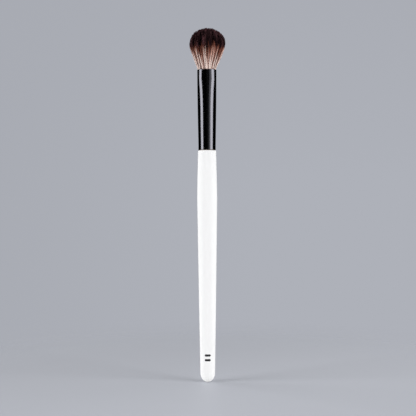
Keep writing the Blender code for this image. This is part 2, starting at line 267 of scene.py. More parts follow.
class Nodes:
    """Adds nodes to one tree."""

    def __init__(self, tree):
        self.tree = tree

    def node(self, kind, settings=None, sockets=None):
        """A node: its settings come first, then the values or links of its inputs.

        A list among the settings fills a collection, and a list among the sockets goes to one input.
        """
        made = self.tree.nodes.new(kind)
        for name, value in (settings or {}).items():
            if isinstance(value, list):
                for item in value:
                    getattr(made, name).new(*item)
            else:
                setattr(made, name, value)
        for name, value in (sockets or {}).items():
            socket = find_socket(made.inputs, name)
            for part in (value if isinstance(value, list) else [value]):
                if isinstance(part, Value):
                    self.tree.links.new(part.socket, socket)
                else:
                    socket.default_value = part
        outputs = [socket for socket in made.outputs if socket.enabled]
        return Value(self, outputs[0]) if outputs else None

    def math(self, operation, *values):
        return self.node("ShaderNodeMath", {"operation": operation}, dict(enumerate(values)))

    def vector_math(self, operation, *values):
        return self.node("ShaderNodeVectorMath", {"operation": operation}, dict(enumerate(values)))

    def share_between(self, low, high, value, interpolation="LINEAR"):
        """How far value lies from low to high, from 0 to 1."""
        settings = {"interpolation_type": interpolation}
        sockets = {"Value": value, "From Min": low, "From Max": high}
        return self.node("ShaderNodeMapRange", settings, sockets)

    def soft_step(self, low, high, value):
        """0 up to low, 1 from high on, and a soft rise between them."""
        return self.share_between(low, high, value, "SMOOTHSTEP")

    def mix(self, kind, factor, first, second):
        """FLOAT, VECTOR or RGBA, from first at factor 0 to second at 1."""
        return self.node("ShaderNodeMix", {"data_type": kind}, {"Factor": factor, "A": first, "B": second})

    def shaded(self, factor, rgb, share):
        """A colour that turns to a share of itself as factor goes from 0 to 1."""
        return self.mix("RGBA", factor, tint(rgb), tint(rgb, share))

    def combine(self, x, y, z):
        return self.node("ShaderNodeCombineXYZ", None, {"X": x, "Y": y, "Z": z})

    def parts(self, vector):
        """The three numbers of a vector."""
        split = self.node("ShaderNodeSeparateXYZ", None, {"Vector": vector})
        return split, split.output("Y"), split.output("Z")

    def noise(self, vector, size=1.0, detail=2.0):
        return self.node("ShaderNodeTexNoise", None, {"Vector": vector, "Scale": 1 / size, "Detail": detail})


# Shapes grown by Geometry Nodes

class ShapeTree(Nodes):
    """A Geometry Nodes tree with named inputs for the counts and measures of what it grows."""

    def __init__(self, name, counts, measures):
        super().__init__(bpy.data.node_groups.new(name, "GeometryNodeTree"))
        kinds = {"Geometry": "Geometry", **dict.fromkeys(counts, "Int"), **dict.fromkeys(measures, "Float")}
        self.add_socket("Geometry", "OUTPUT", "Geometry")
        self.identifiers = {}
        for input_name, kind in {**kinds, "Material": "Material"}.items():
            self.identifiers[input_name] = self.add_socket(input_name, "INPUT", kind).identifier
        self.entry = self.node("NodeGroupInput")

    def add_socket(self, name, side, kind):
        return self.tree.interface.new_socket(name, in_out=side, socket_type="NodeSocket" + kind)

    def input(self, name):
        return self.entry.output(name)

    def position_at(self, geometry, index):
        """The place of one point of a geometry."""
        sockets = {"Geometry": geometry, "Value": self.node("GeometryNodeInputPosition"), "Index": index}
        return self.node("GeometryNodeSampleIndex", {"data_type": "FLOAT_VECTOR"}, sockets)

    def random(self, seed, identity, low=(0, 0, 0), high=(1, 1, 1)):
        """Three random numbers for each identity."""
        sockets = {"Min": low, "Max": high, "ID": identity, "Seed": seed}
        return self.node("FunctionNodeRandomValue", {"data_type": "FLOAT_VECTOR"}, sockets)

    def keep(self, geometry, kind, *values):
        """Keeps fields' values on the points. Gives the geometry and the kept values."""
        names = [f"Kept {i}" for i in range(len(values))]
        settings = {"capture_items": [(kind, name) for name in names]}
        sockets = {"Geometry": geometry, **dict(zip(names, values))}
        kept = self.node("GeometryNodeCaptureAttribute", settings, sockets)
        return kept, *(kept.output(name) for name in names)

    def finish(self, geometry):
        """Ends the tree with plain geometry that carries its material."""
        real = self.node("GeometryNodeRealizeInstances", None, {"Geometry": geometry})
        sockets = {"Geometry": real, "Material": self.input("Material")}
        dressed = self.node("GeometryNodeSetMaterial", None, sockets)
        self.node("NodeGroupOutput", None, {"Geometry": dressed})
        return self


def add_object(name, data):
    """A new object in the scene, with its origin at the frame's."""
    made = bpy.data.objects.new(name, data)
    bpy.context.scene.collection.objects.link(made)
    return made


def grow(name, shape_tree, sizes, outline=None):
    """An object with the plain mesh that the tree grows from these sizes."""
    piece = add_object(name, outline or bpy.data.meshes.new(name))
    modifier = piece.modifiers.new("Shape", "NODES")
    modifier.node_group = shape_tree.tree
    for input_name, value in sizes.items():
        modifier[shape_tree.identifiers[input_name]] = value
    depsgraph = bpy.context.evaluated_depsgraph_get()
    evaluated = piece.evaluated_get(depsgraph)
    mesh = bpy.data.meshes.new_from_object(evaluated, preserve_all_data_layers=True, depsgraph=depsgraph)
    piece.modifiers.remove(modifier)
    piece.data = mesh
    mesh.name = name
    if not mesh.polygons:
        raise RuntimeError(f"{name} came out without faces")
    return piece


PRESS_INPUTS = ("Press start", "Crease", "Mouth", "Press power", "Crease share", "Mouth share")
UNPRESSED = dict(zip(PRESS_INPUTS, (0.0, 1.0, 2.0, 1.0, 1.0, 1.0)))


def depth_share(press, z, between=share_between):
    """A pressed piece's depth as a share of its width, in numbers, or in nodes by a tree's own method."""
    start, crease, mouth, power, crease_share, mouth_share = press
    pressed = between(start, crease, z) ** power
    opened = between(crease, mouth, z)
    return 1 + (crease_share - 1) * pressed + (mouth_share - crease_share) * opened


@functools.cache
def turned_tree():
    """Turns an outline round Z, and presses it flatter in Y towards its upper end."""
    tree = ShapeTree("Turned piece", ("Segments",), PRESS_INPUTS)
    outline = tree.input("Geometry")
    segments = tree.input("Segments")
    rows = tree.node("GeometryNodeAttributeDomainSize", None, {"Geometry": outline})
    columns = segments + 1
    grid = tree.node("GeometryNodeMeshGrid", None, {"Vertices X": rows, "Vertices Y": columns})
    index = tree.node("GeometryNodeInputIndex")
    column = index % columns
    row = (index - column) / columns
    radius, _, height = tree.parts(tree.position_at(outline, row))
    turn_angle = column / segments * math.tau
    press = [tree.input(name) for name in PRESS_INPUTS]
    x = radius * tree.math("COSINE", turn_angle)
    y = radius * tree.math("SINE", turn_angle) * depth_share(press, height, tree.share_between)
    sockets = {"Geometry": grid, "Position": tree.combine(x, y, height)}
    placed = tree.node("GeometryNodeSetPosition", None, sockets)
    sockets = {"Geometry": placed, "Distance": MERGE_DISTANCE}
    return tree.finish(tree.node("GeometryNodeMergeByDistance", None, sockets))


THREAD_POINTS_PER_TURN = 110
PLY_SIDES = 6


def moved(tree, geometry, x, z):
    sockets = {"Geometry": geometry, "Translation": tree.combine(x, 0.0, z)}
    return tree.node("GeometryNodeTransform", None, sockets)


@functools.cache
def thread_tree():
    """Winds a thread of two twisted plies up a helix."""
    measures = ("Turns", "Helix radius", "Helix height", "Ply radius", "Twists", "Base height")
    tree = ShapeTree("Twisted thread", (), measures)
    turns, helix_radius, helix_height, ply_radius, twists, base = (tree.input(name) for name in measures)
    sockets = {
        "Resolution": THREAD_POINTS_PER_TURN,
        "Rotations": turns,
        "Start Radius": helix_radius,
        "End Radius": helix_radius,
        "Height": helix_height,
    }
    helix = tree.node("GeometryNodeCurveSpiral", None, sockets)
    tilt = tree.node("GeometryNodeSplineParameter") * twists * math.tau
    twisted = tree.node("GeometryNodeSetCurveTilt", None, {"Curve": helix, "Tilt": tilt})
    ply = tree.node("GeometryNodeCurvePrimitiveCircle", None, {"Resolution": PLY_SIDES, "Radius": ply_radius})
    plies = [moved(tree, ply, ply_radius * side, 0.0) for side in (-1, 1)]
    section = tree.node("GeometryNodeJoinGeometry", None, {"Geometry": plies})
    sockets = {"Curve": twisted, "Profile Curve": section, "Fill Caps": True}
    return tree.finish(moved(tree, tree.node("GeometryNodeCurveToMesh", None, sockets), 0.0, base))


# Inputs of the hair's tree: settings of the same name, and what is worked out for each layer
HAIR_COUNTS = ("Locks", "Seed")
HAIR_MEASURES = (
    "Lock pull", "Tip release", "Crossing", "Lock scatter", "Lock point", "Tip scatter", "Lean", "Swerve",
    "Wave", "Dome height", "Dome power", "Flare share", "Thickness", "Flank lift",
)
LAYER_MEASURES = (
    "Inner reach", "Outer reach", "Root height", "Widest height",
    "Root half width", "Root half depth", "Head half width", "Head half depth",
)

GOLDEN_ANGLE = math.pi * (3 - math.sqrt(5))
LOCK_REACH = 0.97
LOCK_JITTER = 0.02
LOCK_SPREAD = 0.07
STRAND_JITTER = 0.006

STRAND_POINTS = 8
STRAND_SIDES = 3
STRAND_TIP_SHARE = 0.35
TAPER_START = 0.86
TIP_DENSITY_POWER = 1.25
TIP_FALL_POWER = 2.0

# Shares of the rise from the root to the widest place
LOCK_RISE_SHARE = 0.35
RELEASE_START_SHARE = 0.55
SWERVE_RISE_SHARE = 0.4

WAVE_SPREAD = 5.0
WAVE_LENGTH = 6.0 * MM
SWERVE_PATHS = 40.0
SWERVE_LENGTH = 14.0 * MM

# A hair's look is a column of the map: its lock's tone, and in that its own, which comes from chance
# and from its place in the lock, where painted shade darkens the hairs towards the lock's edge
LOCK_LOOKS = 32
STRAND_LOOKS = 4
LOOKS = LOCK_LOOKS * STRAND_LOOKS
LOOK_MARGIN_SHARE = 0.25
LOOK_STRAY_SHARE = 0.65
LOOK_CLOUD_SIZE = 0.2
LOOK_CLOUD_SHARE = 0.5
LOOK_CLOUD_SPAN = (0.3, 0.7)
BELOW_ONE = 0.999

# Up the map goes the height, and above this share the tip's painted light, which draws it towards plum:
# all of it at the head's left and right, and less at the front and back
TIP_MAP_START = 0.9
FRONT_TIP_LIGHT_SHARE = 0.4
FLANK_POWER = 4.0


def sunflower(tree, count, inner, outer, jitter, seed):
    """Evenly spread and slightly shifted places in a ring of the unit disc, one for each point."""
    index = tree.node("GeometryNodeInputIndex")
    spot = (index + 0.5) / count
    reach = (inner**2 + spot * (outer**2 - inner**2)) ** 0.5
    turned = index * GOLDEN_ANGLE
    place = tree.combine(reach * tree.math("COSINE", turned), reach * tree.math("SINE", turned), 0.0)
    shift = tree.random(seed, index, (-jitter, -jitter, 0), (jitter, jitter, 0))
    return tree.vector_math("ADD", place, shift)


def wander(tree, path, detail, reach):
    """Two sideways shifts that drift along a path, within half of reach either way."""
    x, y, _ = tree.parts(tree.noise(path, detail=detail).output("Color"))
    return (x - 0.5) * reach, (y - 0.5) * reach


@functools.cache
def hair_tree():
    """Grows one layer of the head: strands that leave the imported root, flare and draw into locks."""
    tree = ShapeTree("Hair layer", ("Strands", *HAIR_COUNTS), HAIR_MEASURES + LAYER_MEASURES)
    seed = tree.input("Seed")

    # Places in the unit disc: the middles of the locks, and the strands round them
    locks = tree.input("Locks")
    lock_place = sunflower(tree, locks, 0.0, LOCK_REACH, LOCK_JITTER, seed)
    lock_points = tree.node("GeometryNodePoints", None, {"Count": locks, "Position": lock_place})
    strands = tree.input("Strands")
    ring = tree.input("Inner reach"), tree.input("Outer reach")
    strand_place = sunflower(tree, strands, *ring, STRAND_JITTER, seed + 1)
    points = tree.node("GeometryNodePoints", None, {"Count": strands, "Position": strand_place})
    place = tree.node("GeometryNodeInputPosition")
    sockets = {"Geometry": lock_points, "Sample Position": place}
    nearest = tree.node("GeometryNodeSampleNearest", None, sockets)
    middle = tree.position_at(lock_points, nearest)
    lock_chance = tree.random(seed + 2, nearest)
    strand_chance = tree.random(seed + 3, tree.node("GeometryNodeInputIndex"))
    kept = tree.keep(points, "VECTOR", place, middle, lock_chance, strand_chance)
    points, place, middle, lock_chance, strand_chance = kept
    place_x, place_y, _ = tree.parts(place)
    lock_fall, swerve_start, lock_look = tree.parts(lock_chance)
    tip_fall, strand_stray, wave_start = tree.parts(strand_chance)

    # One line of points for each strand
    line = tree.node("GeometryNodeCurvePrimitiveLine")
    line = tree.node("GeometryNodeResampleCurve", None, {"Curve": line, "Count": STRAND_POINTS})
    lines = tree.node("GeometryNodeInstanceOnPoints", None, {"Points": points, "Instance": line})
    lines = tree.node("GeometryNodeRealizeInstances", None, {"Geometry": lines})
    factor = tree.node("GeometryNodeSplineParameter")
    along = 1 - (1 - factor) ** TIP_DENSITY_POWER

    # Heights, with every tip on the dome
    root = tree.input("Root height")
    widest = tree.input("Widest height")
    dome_height = tree.input("Dome height")
    dome_power = tree.input("Dome power")
    reach = tree.vector_math("LENGTH", place)
    dome = tree.math("MAXIMUM", 1 - reach**dome_power, 0.0) ** (1 / dome_power)
    beside = tree.vector_math("DISTANCE", place, middle) / LOCK_SPREAD
    fall = tree.input("Lock scatter") * lock_fall + tree.input("Lock point") * beside**2
    fall = fall + tree.input("Tip scatter") * tip_fall**TIP_FALL_POWER
    tip = widest + dome_height * dome - fall
    height = root + (tip - root) * along
    rise = tree.share_between(root, widest, height)

    # Draws the strands of a lock together, and lets the locks cross above the root
    release = 1 - tree.input("Tip release") * tree.soft_step(RELEASE_START_SHARE, 1.0, rise)
    pull = tree.input("Lock pull") * tree.soft_step(-LOCK_RISE_SHARE, LOCK_RISE_SHARE, rise) * release
    drawn = tree.mix("VECTOR", pull, place, middle)
    crossing = tree.input("Crossing") * 2
    stray = tree.vector_math("SUBTRACT", lock_chance, (0.5, 0.5, 0.5))
    stray = tree.vector_math("MULTIPLY", stray, tree.combine(crossing, crossing, 0.0))
    crossed = tree.vector_math("ADD", drawn, stray)
    outside = tree.math("MAXIMUM", 1.0, tree.vector_math("LENGTH", crossed))

    # Spreads them across the head
    flare = rise + tree.input("Flare share") * rise**2 * (1 - rise)
    drift = tree.combine(place_x * WAVE_SPREAD, place_y * WAVE_SPREAD, height / WAVE_LENGTH + wave_start)
    waves = wander(tree, drift, detail=1.0, reach=tree.input("Wave") * 2 * rise)
    path = tree.combine(swerve_start * SWERVE_PATHS, lock_look * SWERVE_PATHS, height / SWERVE_LENGTH)
    swerve = tree.input("Swerve") * 2 * tree.soft_step(0.0, SWERVE_RISE_SHARE, rise)
    swerves = wander(tree, path, detail=0.0, reach=swerve)
    crossed_parts = tree.parts(crossed)
    drawn_parts = tree.parts(drawn)
    spread = []
    for i, side in enumerate(("width", "depth")):
        at_root = crossed_parts[i] / outside * tree.input("Root half " + side)
        at_widest = drawn_parts[i] * tree.input("Head half " + side)
        spread.append(tree.mix("FLOAT", flare, at_root, at_widest) + waves[i] + swerves[i])
    x, y = spread
    sockets = {"Geometry": lines, "Position": tree.combine(x + tree.input("Lean") * rise, y, height)}
    lines = tree.node("GeometryNodeSetPosition", None, sockets)

    # Its look across the map, alike for neighbours, and its height up the map
    sideways = place_x**2
    lift = tree.input("Flank lift") * (reach**FLANK_POWER + sideways**2)
    height_share = tree.math("MAXIMUM", 0.0, height - root - lift) / (widest + dome_height - root)
    tip_light_part = tree.share_between(1 - 1 / (STRAND_POINTS - 1), 1.0, factor)
    # Painted light at the tips: the tip's end of the map, all of it at the head's left and right, less at the
    # front and back
    tip_light_height = 1 - (1 - TIP_MAP_START) * (1 - FRONT_TIP_LIGHT_SHARE) * (1 - sideways)
    height_share = tree.mix("FLOAT", tip_light_part, height_share * TIP_MAP_START, tip_light_height)
    # Painted shade: a hair is darker the nearer it lies to its lock's edge, and chance mixes in its own tone
    strand_shade_and_tone = tree.mix("FLOAT", LOOK_STRAY_SHARE, tree.share_between(0.0, 1.0, beside), strand_stray)
    round_axis = tree.vector_math("ADD", tree.vector_math("NORMALIZE", middle), tree.combine(0.0, 0.0, seed))
    cloud = tree.share_between(*LOOK_CLOUD_SPAN, tree.noise(round_axis, LOOK_CLOUD_SIZE, detail=0.0))
    lock_look = tree.mix("FLOAT", LOOK_CLOUD_SHARE, lock_look, cloud)
    look = tree.math("FLOOR", lock_look * LOCK_LOOKS * BELOW_ONE) * STRAND_LOOKS
    look = look + tree.math("FLOOR", strand_shade_and_tone * STRAND_LOOKS * BELOW_ONE)

    # A slim body round each line
    slimness = 1 - (1 - STRAND_TIP_SHARE) * tree.soft_step(TAPER_START, 1.0, along)
    lines, height_share, look, slimness = tree.keep(lines, "FLOAT", height_share, look, slimness)
    section = tree.node("GeometryNodeCurvePrimitiveCircle", None, {"Resolution": STRAND_SIDES, "Radius": 1.0})
    section, side = tree.keep(section, "FLOAT", tree.node("GeometryNodeSplineParameter"))
    sockets = {
        "Curve": lines,
        "Profile Curve": section,
        "Scale": tree.input("Thickness") * 0.5 * slimness,
        "Fill Caps": True,
    }
    bodies = tree.node("GeometryNodeCurveToMesh", None, sockets)
    across = (look + LOOK_MARGIN_SHARE + side * (1 - LOOK_MARGIN_SHARE)) / LOOKS
    sockets = {"Geometry": bodies, "Name": BAKE_MAP, "Value": tree.combine(across, height_share, 0.0)}
    settings = {"data_type": "FLOAT2", "domain": "CORNER"}
    return tree.finish(tree.node("GeometryNodeStoreNamedAttribute", settings, sockets))


# Outlines, as points of radius and height

DOME_STEPS = 28
BODY_STEPS = 72
TAPER_STEPS = 24
ROUNDING_STEPS = 6
FERRULE_STEPS = 90


def quarter_arc():
    """Points of a quarter circle as (sine, cosine), from level to upright."""
    return [(math.sin(turned), math.cos(turned)) for turned in steps(0, math.pi / 2, ROUNDING_STEPS)]


def shoulder_z(handle):
    return FOOT_Z - handle.seam


def handle_radius(handle, z):
    """The lacquered handle's radius between the butt's dome and the shoulder."""
    belly_z = shoulder_z(handle) - handle.taper_length
    if z <= belly_z:
        along = share_between(handle.dome_height, belly_z, z)
        swell = along + handle.bulge_share * along * (1 - along)
        return handle.butt_radius + (handle.belly_radius - handle.butt_radius) * swell
    along = share_between(belly_z, shoulder_z(handle), z)
    return handle.belly_radius + (handle.shoulder_radius - handle.belly_radius) * along**handle.taper_power


def butt_outline(handle):
    """The elliptical dome, cut flat where the brush stands."""
    start = math.asin(handle.flat_radius / handle.butt_radius)
    ellipse_height = handle.dome_height / math.cos(start)
    outline = [(0.0, 0.0)]
    for turned in steps(start, math.pi / 2, DOME_STEPS):
        z = handle.dome_height - ellipse_height * math.cos(turned)
        outline.append((handle.butt_radius * math.sin(turned), z))
    return outline


def body_outline(handle):
    """The long swelling body, the taper above its belly and the shoulder's rounded edge."""
    edge_z = shoulder_z(handle) - handle.rounding
    belly_z = shoulder_z(handle) - handle.taper_length
    heights = steps(handle.dome_height, belly_z, BODY_STEPS)[1:]
    heights += steps(belly_z, edge_z, TAPER_STEPS)[1:-1]
    outline = [(handle_radius(handle, z), z) for z in heights]
    inner_radius = handle_radius(handle, edge_z) - handle.rounding
    for rise, out in quarter_arc():
        outline.append((inner_radius + handle.rounding * out, edge_z + handle.rounding * rise))
    return outline


def groove_starts(handle):
    lower = shoulder_z(handle) + handle.groove_inset
    return lower, TENON_TOP_Z - handle.groove_inset - handle.groove_width


def tenon_outline(handle):
    """The tenon with its two glue grooves and its chamfered end."""
    outline = [(handle.tenon_radius, shoulder_z(handle))]
    floor_radius = handle.tenon_radius - handle.groove_depth
    for start in groove_starts(handle):
        end = start + handle.groove_width
        outline += [(handle.tenon_radius, start), (floor_radius, start)]
        outline += [(floor_radius, end), (handle.tenon_radius, end)]
    outline.append((handle.tenon_radius, TENON_TOP_Z - handle.tenon_chamfer))
    outline.append((handle.tenon_radius - handle.tenon_chamfer, TENON_TOP_Z))
    outline.append((0.0, TENON_TOP_Z))
    return outline


def ferrule_half_width(ferrule, z):
    """Half the ferrule's outer width, which is also its radius where it is round."""
    along = share_between(FOOT_Z + ferrule.straight_foot, MOUTH_Z, z)
    swage = 1 - (1 - along**ferrule.swage_power) ** 2
    return ferrule.foot_radius + (ferrule.mouth_width / 2 - ferrule.foot_radius) * swage


def press_of(ferrule):
    """Where the ferrule is pressed and by how much, as the turned tree's inputs."""
    crease_z = MOUTH_Z - ferrule.pressed_band
    places = crease_z - ferrule.press_runout, crease_z, MOUTH_Z
    shares = ferrule.crease_depth / ferrule.mouth_width, ferrule.mouth_depth / ferrule.mouth_width
    return dict(zip(PRESS_INPUTS, (*places, ferrule.press_power, *shares)))


def bore_half_sizes(ferrule, z, inset):
    """Half the width and depth of the ferrule's bore at a height, drawn in by an inset."""
    half_width = ferrule_half_width(ferrule, z)
    half_depth = half_width * depth_share(press_of(ferrule).values(), z)
    return half_width - ferrule.wall - inset, half_depth - ferrule.wall - inset


def ferrule_outline(ferrule):
    """Up the outside, over the rounded lip, down the bore and back to the foot's edge."""
    rounding = ferrule.foot_rounding
    outline = []
    for rise, out in quarter_arc():
        outline.append((ferrule.foot_radius - rounding * (1 - rise), FOOT_Z + rounding * (1 - out)))
    lip = ferrule.wall / 2
    lip_z = MOUTH_Z - lip
    heights = steps(FOOT_Z + rounding, lip_z, FERRULE_STEPS)[1:-1]
    outline += [(ferrule_half_width(ferrule, z), z) for z in heights]
    middle = ferrule_half_width(ferrule, MOUTH_Z) - lip
    outline += [(middle + lip * out, lip_z + lip * rise) for rise, out in quarter_arc()]
    outline += [(middle - lip * out, lip_z + lip * rise) for rise, out in reversed(quarter_arc()[:-1])]
    outline += [(ferrule_half_width(ferrule, z) - ferrule.wall, z) for z in reversed(heights)]
    outline.append((ferrule.foot_radius - ferrule.wall, FOOT_Z))
    outline.append(outline[0])
    return outline


def tightest_bore(ferrule, root, *heights):
    """The largest round radius that clears the bore at all of these heights."""
    return min(bore_half_sizes(ferrule, z, root.clearance)[1] for z in heights)


def thread_top_z(root):
    pitch = root.thread_diameter + root.thread_gap
    return THREAD_Z + root.thread_turns * pitch + root.thread_diameter


def thread_radius(ferrule, root):
    """The radius of the binding's centre line."""
    return tightest_bore(ferrule, root, THREAD_Z, thread_top_z(root)) - root.thread_diameter / 2


def waist_radius(ferrule, root):
    """The bound root's radius under the thread."""
    return thread_radius(ferrule, root) - root.thread_diameter / 2 - root.clearance


# Pieces

TURNED_SEGMENTS = 128


def turn(name, outline, material, press=UNPRESSED):
    """A turned piece, round or pressed flatter towards its top."""
    mesh = bpy.data.meshes.new(name + "_outline")
    edges = [(i, i + 1) for i in range(len(outline) - 1)]
    mesh.from_pydata([(radius, 0.0, z) for radius, z in outline], edges, [])
    sizes = {"Segments": TURNED_SEGMENTS, **press, "Material": material}
    piece = grow(name, turned_tree(), sizes, mesh)
    piece.data.shade_smooth()
    piece.data.set_sharp_from_angle(angle=SHARP_ANGLE)
    return piece


def add_from_bmesh(name, bm, material):
    """A new object with the mesh built in bm, which is freed."""
    mesh = bpy.data.meshes.new(name)
    bm.to_mesh(mesh)
    bm.free()
    mesh.materials.append(material)
    return add_object(name, mesh)


def settle(piece, node):
    """Puts a finished piece on the brush's body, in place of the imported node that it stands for."""
    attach(piece, BODY)
    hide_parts(node)


# Materials

class Finish(Nodes):
    """The node tree of one new material."""

    def __init__(self, name):
        self.material = bpy.data.materials.new(name)
        self.material.use_nodes = True
        super().__init__(self.material.node_tree)
        self.tree.nodes.clear()

    def place(self):
        return self.node("ShaderNodeTexCoord").output("Object")

    def drawn_out(self, share):
        """Object coordinates with only a share of Z, which draws a pattern out lengthwise."""
        return self.vector_math("MULTIPLY", self.place(), (1.0, 1.0, share))

    def bump(self, height, strength, depth):
        return self.node("ShaderNodeBump", None, {"Height": height, "Strength": strength, "Distance": depth})

    def surface(self, sockets):
        """Ends the tree with a Principled shader."""
        return self.end(self.node("ShaderNodeBsdfPrincipled", None, sockets))

    def end(self, shader):
        self.node("ShaderNodeOutputMaterial", None, {"Surface": shader})
        return self.material


BARE_EDGE = 0.01 * MM
CLOUD_SIZE = 9.0 * MM
LACQUER_SHADE_SHARE = 0.985
LACQUER_ROUGHNESS = (0.1, 0.18)
SMUDGE_SIZE = 3.0 * MM
PEEL_SIZE = 1.3 * MM
PEEL_SHARE = 0.15
WOOD_ROUGHNESS = 0.7
GRAIN_SIZE = 0.45 * MM
GRAIN_STRETCH_SHARE = 0.06
GRAIN_SHADE_SHARE = 0.6
GRAIN_SPAN = (0.4, 0.65)


def lacquered_wood_material(handle):
    """White gloss lacquer up to the shoulder, and bare turned wood with its grain above it."""
    nodes = Finish("white_lacquer_on_wood")
    place = nodes.place()
    _, _, z = nodes.parts(place)
    bare = nodes.math("GREATER_THAN", z, shoulder_z(handle) - BARE_EDGE)
    lacquer = nodes.shaded(nodes.noise(place, CLOUD_SIZE), handle.lacquer, LACQUER_SHADE_SHARE)
    smudge = nodes.noise(place, SMUDGE_SIZE, detail=4.0)
    peel = nodes.noise(place, PEEL_SIZE)
    grain = nodes.noise(nodes.drawn_out(GRAIN_STRETCH_SHARE), GRAIN_SIZE, detail=4.0)
    wood = nodes.shaded(nodes.soft_step(*GRAIN_SPAN, grain), handle.wood, GRAIN_SHADE_SHARE)
    gloss = nodes.mix("FLOAT", smudge, *LACQUER_ROUGHNESS)
    relief = nodes.mix("FLOAT", bare, peel * PEEL_SHARE, grain)
    sockets = {
        "Base Color": nodes.mix("RGBA", bare, lacquer, wood),
        "Roughness": nodes.mix("FLOAT", bare, gloss, WOOD_ROUGHNESS),
        "Specular IOR Level": 0.1,
        "Normal": nodes.bump(relief, strength=0.3, depth=0.02 * MM),
    }
    return nodes.surface(sockets)


DRAW_SIZE = 0.12 * MM
DRAW_STRETCH_SHARE = 0.04
DUST_SIZE = 0.8 * MM
METAL_SHEEN_SHARE = 1.15
METAL_ROUGHNESS = (0.11, 0.17)


def black_metal_material(ferrule):
    """Black anodised metal, drawn lengthwise and polished."""
    nodes = Finish("black_anodised_metal")
    draw = nodes.noise(nodes.drawn_out(DRAW_STRETCH_SHARE), DRAW_SIZE, detail=3.0)
    dust = nodes.noise(nodes.place(), DUST_SIZE, detail=5.0)
    sockets = {
        "Base Color": nodes.shaded(draw, ferrule.metal, METAL_SHEEN_SHARE),
        "Metallic": 1.0,
        "Roughness": nodes.mix("FLOAT", dust, *METAL_ROUGHNESS),
        "Coat Weight": 1.0,
        "Coat Roughness": 0.06,
        "Normal": nodes.bump(draw, strength=0.15, depth=0.004 * MM),
    }
    return nodes.surface(sockets)


TURN_SOFTNESS = 1.9 * MM
STRAND_TURN_SHARE = 0.45
RUSSET_LENGTH = 3.8 * MM
PALE_ROOT_LENGTH = 9.0 * MM

# What adds to a hair's brightness, which goes from pale at 0 to bright at 1
LOCK_BRIGHTNESS = 1.8
STRAND_BRIGHTNESS = 0.2
BASE_BRIGHTNESS = -0.75

# What draws a pale hair towards russet: a chance of a dark lock, and painted shade at its lock's edge
STREAK_SPAN = (0.6, 0.7)
STREAK_SHARE = 0.85
LOCK_EDGE_SHADE_SHARE = 0.2

# What draws a dark hair towards plum: its lock's tone and chance, and painted light at the very tip
PLUM_SPAN = (0.35, 0.95)
LOCK_PLUM_SHARE = 0.7
LEAST_PLUM_SHARE = 0.6
LEAST_TIP_LIGHT_SHARE = 0.5


def hair_material(hair, root_z):
    """Natural hair: pale at the root, russet where it turns, near black at the tips, lock by lock."""
    nodes = Finish("natural_hair")
    across, up, _ = nodes.parts(nodes.node("ShaderNodeUVMap", {"uv_map": BAKE_MAP}))
    lock = nodes.math("FLOOR", across * LOCK_LOOKS)
    strand = nodes.math("FLOOR", across * LOOKS)
    lock_tone = lock / (LOCK_LOOKS - 1)
    edge_shade_and_tone = (strand % STRAND_LOOKS) / (STRAND_LOOKS - 1)
    one_number = {"noise_dimensions": "1D"}
    lock_chance = nodes.node("ShaderNodeTexWhiteNoise", one_number, {"W": lock + hair.seed})
    strand_chance = nodes.node("ShaderNodeTexWhiteNoise", one_number, {"W": strand + LOOKS})
    turn_chance, plum_chance, streak_chance = nodes.parts(lock_chance.output("Color"))
    strand_turn, strand_pale, strand_plum = nodes.parts(strand_chance.output("Color"))

    # How far a point lies above the turn from pale to dark
    height = up * ((TIP_Z - root_z) / TIP_MAP_START)
    chance = (turn_chance - 0.5) + (strand_turn - 0.5) * STRAND_TURN_SHARE
    above = height - (TIP_Z - root_z - hair.turn_depth) - chance * 2 * hair.turn_scatter
    dark_part = nodes.soft_step(-TURN_SOFTNESS, TURN_SOFTNESS, above)
    russet_part = nodes.soft_step(-TURN_SOFTNESS - RUSSET_LENGTH, -TURN_SOFTNESS, above)

    near_root = nodes.soft_step(PALE_ROOT_LENGTH, 0.0, height)
    # The strand's place in its lock adds painted shade: darker and redder towards the lock's edge
    brightness = lock_tone * LOCK_BRIGHTNESS + (strand_pale - edge_shade_and_tone) * STRAND_BRIGHTNESS
    brightness = nodes.share_between(0.0, 1.0, brightness + near_root + BASE_BRIGHTNESS)
    pale = nodes.mix("RGBA", brightness, tint(hair.pale), tint(hair.bright))
    streak = nodes.soft_step(*STREAK_SPAN, streak_chance) * STREAK_SHARE
    streak = nodes.math("MAXIMUM", streak, edge_shade_and_tone**3 * LOCK_EDGE_SHADE_SHARE)
    pale = nodes.mix("RGBA", streak, pale, tint(hair.russet))

    plum_part = nodes.soft_step(*PLUM_SPAN, nodes.mix("FLOAT", LOCK_PLUM_SHARE, plum_chance, lock_tone))
    plum_part = plum_part * nodes.mix("FLOAT", strand_plum, LEAST_PLUM_SHARE, 1.0)
    # Painted light at the very tips, which draws them towards plum, most at the head's left and right
    tip_light_part = nodes.share_between(TIP_MAP_START, 1.0, up)
    tip_light_part = tip_light_part * nodes.mix("FLOAT", strand_plum, LEAST_TIP_LIGHT_SHARE, 1.0)
    tips = nodes.mix("RGBA", nodes.math("MAXIMUM", plum_part, tip_light_part), tint(hair.dark), tint(hair.plum))

    colour_up = nodes.mix("RGBA", russet_part, pale, tint(hair.russet))
    sockets = {
        "Base Color": nodes.mix("RGBA", dark_part, colour_up, tips),
        "Roughness": 0.5,
        "Specular IOR Level": 0.05,
    }
    return nodes.surface(sockets)


ROOT_STREAK_SIZE = 0.1 * MM
ROOT_STRETCH_SHARE = 0.05
ROOT_STREAK_SPAN = (0.35, 0.6)


